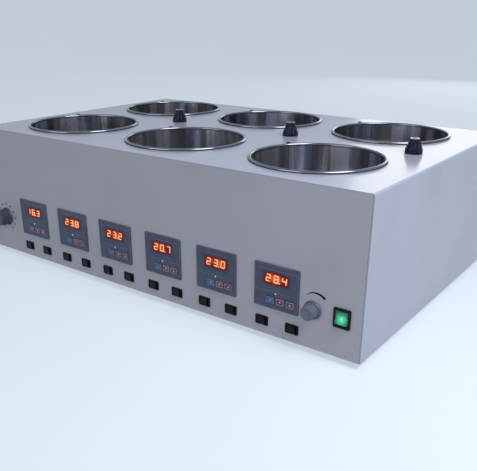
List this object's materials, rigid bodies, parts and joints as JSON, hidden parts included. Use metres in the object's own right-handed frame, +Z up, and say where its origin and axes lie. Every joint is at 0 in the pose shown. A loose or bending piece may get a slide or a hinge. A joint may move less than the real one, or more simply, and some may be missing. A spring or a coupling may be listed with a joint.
{
  "type": "water bath magnetic stirrer",
  "caption": "Bench-top steel case with round stainless water pots in its deck, a controller and rocker switches for each pot, and driven magnets under them.",
  "frame": {"origin": "on the bench, at the centre of the outline seen from above", "axes": "+X to the right of someone facing the control panel, +Y to the back, +Z up"},
  "size_m": [0.688, 0.461, 0.2273],
  "materials": {
    "case_paint": "light grey powder coat, slightly textured",
    "panel_paint": "light grey powder coat, slightly textured",
    "zinc": "dull zinc plate",
    "stainless": "drawn stainless steel, half bright",
    "plated_steel": "turned and plated",
    "black_rubber": "matt black",
    "heater_alloy": "cast, dull",
    "motor_paint": "dark grey enamel",
    "slate_plastic": "satin",
    "controller_face": "smooth overlay",
    "grey_plastic": "satin",
    "black_plastic": "satin black",
    "ivory_plastic": "moulded",
    "board_green": "coated board",
    "lit_green": "clear green, lit from within",
    "key_blue": "smooth",
    "key_red": "smooth"
  },
  "bodies": {
    "case": {"top_cover": "case_paint", "front_panel": "panel_paint", "rear_panel": "panel_paint", "base_plate": "zinc", "rubber_feet": "black_rubber", "water_pots": "stainless", "pot_seals": "black_rubber", "heater_rings": "heater_alloy", "temperature_probes": "stainless", "stirrer_motors": "motor_paint", "controller_housings": "slate_plastic", "controller_faces": "controller_face", "rocker_switch_bodies": "black_plastic", "power_switch_body": "black_plastic", "speed_control_unit": "board_green", "timer_unit": "ivory_plastic", "rod_sockets": "plated_steel", "mains_inlet": "black_plastic"},
    "speed_knob": {"speed_knob": "grey_plastic"},
    "timer_knob": {"timer_knob": "slate_plastic"},
    "power_rocker": {"power_rocker": "lit_green"},
    "collet_nut_1": {"collet_nut_1": "black_plastic"},
    "collet_nut_2": {"collet_nut_2": "black_plastic"},
    "collet_nut_3": {"collet_nut_3": "black_plastic"},
    "magnet_rotor_1": {"magnet_rotor_1": "plated_steel"},
    "magnet_rotor_2": {"magnet_rotor_2": "plated_steel"},
    "magnet_rotor_3": {"magnet_rotor_3": "plated_steel"},
    "magnet_rotor_4": {"magnet_rotor_4": "plated_steel"},
    "magnet_rotor_5": {"magnet_rotor_5": "plated_steel"},
    "magnet_rotor_6": {"magnet_rotor_6": "plated_steel"},
    "heat_rocker_1": {"heat_rocker_1": "black_plastic"},
    "heat_rocker_2": {"heat_rocker_2": "black_plastic"},
    "heat_rocker_3": {"heat_rocker_3": "black_plastic"},
    "heat_rocker_4": {"heat_rocker_4": "black_plastic"},
    "heat_rocker_5": {"heat_rocker_5": "black_plastic"},
    "heat_rocker_6": {"heat_rocker_6": "black_plastic"},
    "stir_rocker_1": {"stir_rocker_1": "black_plastic"},
    "stir_rocker_2": {"stir_rocker_2": "black_plastic"},
    "stir_rocker_3": {"stir_rocker_3": "black_plastic"},
    "stir_rocker_4": {"stir_rocker_4": "black_plastic"},
    "stir_rocker_5": {"stir_rocker_5": "black_plastic"},
    "stir_rocker_6": {"stir_rocker_6": "black_plastic"},
    "set_key_1": {"set_key_1": "key_blue"},
    "set_key_2": {"set_key_2": "key_blue"},
    "set_key_3": {"set_key_3": "key_blue"},
    "set_key_4": {"set_key_4": "key_blue"},
    "set_key_5": {"set_key_5": "key_blue"},
    "set_key_6": {"set_key_6": "key_blue"},
    "down_key_1": {"down_key_1": "key_red"},
    "down_key_2": {"down_key_2": "key_red"},
    "down_key_3": {"down_key_3": "key_red"},
    "down_key_4": {"down_key_4": "key_red"},
    "down_key_5": {"down_key_5": "key_red"},
    "down_key_6": {"down_key_6": "key_red"},
    "up_key_1": {"up_key_1": "key_red"},
    "up_key_2": {"up_key_2": "key_red"},
    "up_key_3": {"up_key_3": "key_red"},
    "up_key_4": {"up_key_4": "key_red"},
    "up_key_5": {"up_key_5": "key_red"},
    "up_key_6": {"up_key_6": "key_red"}
  },
  "joints": [
    {"name": "speed_knob_turn", "type": "hinge", "parent": "case", "child": "speed_knob", "pos_m": [0.2791, -0.2125, 0.059], "axis": [0, 1, 0], "range_deg": [0, 270]},
    {"name": "timer_knob_turn", "type": "hinge", "parent": "case", "child": "timer_knob", "pos_m": [-0.303, -0.2125, 0.065], "axis": [0, 1, 0], "range_deg": [0, 300]},
    {"name": "power_rocker_tip", "type": "hinge", "parent": "case", "child": "power_rocker", "pos_m": [0.3176, -0.2075, 0.059], "axis": [1, 0, 0], "range_deg": [0, 16]},
    {"name": "collet_nut_1_turn", "type": "hinge", "parent": "case", "child": "collet_nut_1", "pos_m": [-0.119, 0.0175, 0.208], "axis": [0, 0, -1], "range_deg": [0, 360]},
    {"name": "collet_nut_2_turn", "type": "hinge", "parent": "case", "child": "collet_nut_2", "pos_m": [0.099, 0.0175, 0.208], "axis": [0, 0, -1], "range_deg": [0, 360]},
    {"name": "collet_nut_3_turn", "type": "hinge", "parent": "case", "child": "collet_nut_3", "pos_m": [0.296, 0.0045, 0.208], "axis": [0, 0, -1], "range_deg": [0, 360]},
    {"name": "magnet_rotor_1_turn", "type": "hinge", "parent": "case", "child": "magnet_rotor_1", "pos_m": [-0.225, -0.0985, 0.116], "axis": [0, 0, 1], "continuous": true},
    {"name": "magnet_rotor_2_turn", "type": "hinge", "parent": "case", "child": "magnet_rotor_2", "pos_m": [-0.007, -0.0985, 0.116], "axis": [0, 0, 1], "continuous": true},
    {"name": "magnet_rotor_3_turn", "type": "hinge", "parent": "case", "child": "magnet_rotor_3", "pos_m": [0.211, -0.0985, 0.116], "axis": [0, 0, 1], "continuous": true},
    {"name": "magnet_rotor_4_turn", "type": "hinge", "parent": "case", "child": "magnet_rotor_4", "pos_m": [-0.225, 0.1215, 0.116], "axis": [0, 0, 1], "continuous": true},
    {"name": "magnet_rotor_5_turn", "type": "hinge", "parent": "case", "child": "magnet_rotor_5", "pos_m": [-0.007, 0.1215, 0.116], "axis": [0, 0, 1], "continuous": true},
    {"name": "magnet_rotor_6_turn", "type": "hinge", "parent": "case", "child": "magnet_rotor_6", "pos_m": [0.211, 0.1215, 0.116], "axis": [0, 0, 1], "continuous": true},
    {"name": "heat_rocker_1_tip", "type": "hinge", "parent": "case", "child": "heat_rocker_1", "pos_m": [-0.24925, -0.2095, 0.0257], "axis": [0, 0, 1], "range_deg": [0, 18]},
    {"name": "heat_rocker_2_tip", "type": "hinge", "parent": "case", "child": "heat_rocker_2", "pos_m": [-0.15765, -0.2095, 0.0257], "axis": [0, 0, 1], "range_deg": [0, 18]},
    {"name": "heat_rocker_3_tip", "type": "hinge", "parent": "case", "child": "heat_rocker_3", "pos_m": [-0.06605, -0.2095, 0.0257], "axis": [0, 0, 1], "range_deg": [0, 18]},
    {"name": "heat_rocker_4_tip", "type": "hinge", "parent": "case", "child": "heat_rocker_4", "pos_m": [0.02555, -0.2095, 0.0257], "axis": [0, 0, 1], "range_deg": [0, 18]},
    {"name": "heat_rocker_5_tip", "type": "hinge", "parent": "case", "child": "heat_rocker_5", "pos_m": [0.11715, -0.2095, 0.0257], "axis": [0, 0, 1], "range_deg": [0, 18]},
    {"name": "heat_rocker_6_tip", "type": "hinge", "parent": "case", "child": "heat_rocker_6", "pos_m": [0.20875, -0.2095, 0.0257], "axis": [0, 0, 1], "range_deg": [0, 18]},
    {"name": "stir_rocker_1_tip", "type": "hinge", "parent": "case", "child": "stir_rocker_1", "pos_m": [-0.20575, -0.2095, 0.0257], "axis": [0, 0, 1], "range_deg": [0, 18]},
    {"name": "stir_rocker_2_tip", "type": "hinge", "parent": "case", "child": "stir_rocker_2", "pos_m": [-0.11415, -0.2095, 0.0257], "axis": [0, 0, 1], "range_deg": [0, 18]},
    {"name": "stir_rocker_3_tip", "type": "hinge", "parent": "case", "child": "stir_rocker_3", "pos_m": [-0.02255, -0.2095, 0.0257], "axis": [0, 0, 1], "range_deg": [0, 18]},
    {"name": "stir_rocker_4_tip", "type": "hinge", "parent": "case", "child": "stir_rocker_4", "pos_m": [0.06905, -0.2095, 0.0257], "axis": [0, 0, 1], "range_deg": [0, 18]},
    {"name": "stir_rocker_5_tip", "type": "hinge", "parent": "case", "child": "stir_rocker_5", "pos_m": [0.16065, -0.2095, 0.0257], "axis": [0, 0, 1], "range_deg": [0, 18]},
    {"name": "stir_rocker_6_tip", "type": "hinge", "parent": "case", "child": "stir_rocker_6", "pos_m": [0.25225, -0.2095, 0.0257], "axis": [0, 0, 1], "range_deg": [0, 18]},
    {"name": "set_key_1_press", "type": "slide", "parent": "case", "child": "set_key_1", "axis": [0, 1, 0], "range_m": [0, 0.0005], "stiffness_N_per_m": 400},
    {"name": "set_key_2_press", "type": "slide", "parent": "case", "child": "set_key_2", "axis": [0, 1, 0], "range_m": [0, 0.0005], "stiffness_N_per_m": 400},
    {"name": "set_key_3_press", "type": "slide", "parent": "case", "child": "set_key_3", "axis": [0, 1, 0], "range_m": [0, 0.0005], "stiffness_N_per_m": 400},
    {"name": "set_key_4_press", "type": "slide", "parent": "case", "child": "set_key_4", "axis": [0, 1, 0], "range_m": [0, 0.0005], "stiffness_N_per_m": 400},
    {"name": "set_key_5_press", "type": "slide", "parent": "case", "child": "set_key_5", "axis": [0, 1, 0], "range_m": [0, 0.0005], "stiffness_N_per_m": 400},
    {"name": "set_key_6_press", "type": "slide", "parent": "case", "child": "set_key_6", "axis": [0, 1, 0], "range_m": [0, 0.0005], "stiffness_N_per_m": 400},
    {"name": "down_key_1_press", "type": "slide", "parent": "case", "child": "down_key_1", "axis": [0, 1, 0], "range_m": [0, 0.0005], "stiffness_N_per_m": 400},
    {"name": "down_key_2_press", "type": "slide", "parent": "case", "child": "down_key_2", "axis": [0, 1, 0], "range_m": [0, 0.0005], "stiffness_N_per_m": 400},
    {"name": "down_key_3_press", "type": "slide", "parent": "case", "child": "down_key_3", "axis": [0, 1, 0], "range_m": [0, 0.0005], "stiffness_N_per_m": 400},
    {"name": "down_key_4_press", "type": "slide", "parent": "case", "child": "down_key_4", "axis": [0, 1, 0], "range_m": [0, 0.0005], "stiffness_N_per_m": 400},
    {"name": "down_key_5_press", "type": "slide", "parent": "case", "child": "down_key_5", "axis": [0, 1, 0], "range_m": [0, 0.0005], "stiffness_N_per_m": 400},
    {"name": "down_key_6_press", "type": "slide", "parent": "case", "child": "down_key_6", "axis": [0, 1, 0], "range_m": [0, 0.0005], "stiffness_N_per_m": 400},
    {"name": "up_key_1_press", "type": "slide", "parent": "case", "child": "up_key_1", "axis": [0, 1, 0], "range_m": [0, 0.0005], "stiffness_N_per_m": 400},
    {"name": "up_key_2_press", "type": "slide", "parent": "case", "child": "up_key_2", "axis": [0, 1, 0], "range_m": [0, 0.0005], "stiffness_N_per_m": 400},
    {"name": "up_key_3_press", "type": "slide", "parent": "case", "child": "up_key_3", "axis": [0, 1, 0], "range_m": [0, 0.0005], "stiffness_N_per_m": 400},
    {"name": "up_key_4_press", "type": "slide", "parent": "case", "child": "up_key_4", "axis": [0, 1, 0], "range_m": [0, 0.0005], "stiffness_N_per_m": 400},
    {"name": "up_key_5_press", "type": "slide", "parent": "case", "child": "up_key_5", "axis": [0, 1, 0], "range_m": [0, 0.0005], "stiffness_N_per_m": 400},
    {"name": "up_key_6_press", "type": "slide", "parent": "case", "child": "up_key_6", "axis": [0, 1, 0], "range_m": [0, 0.0005], "stiffness_N_per_m": 400}
  ]
}
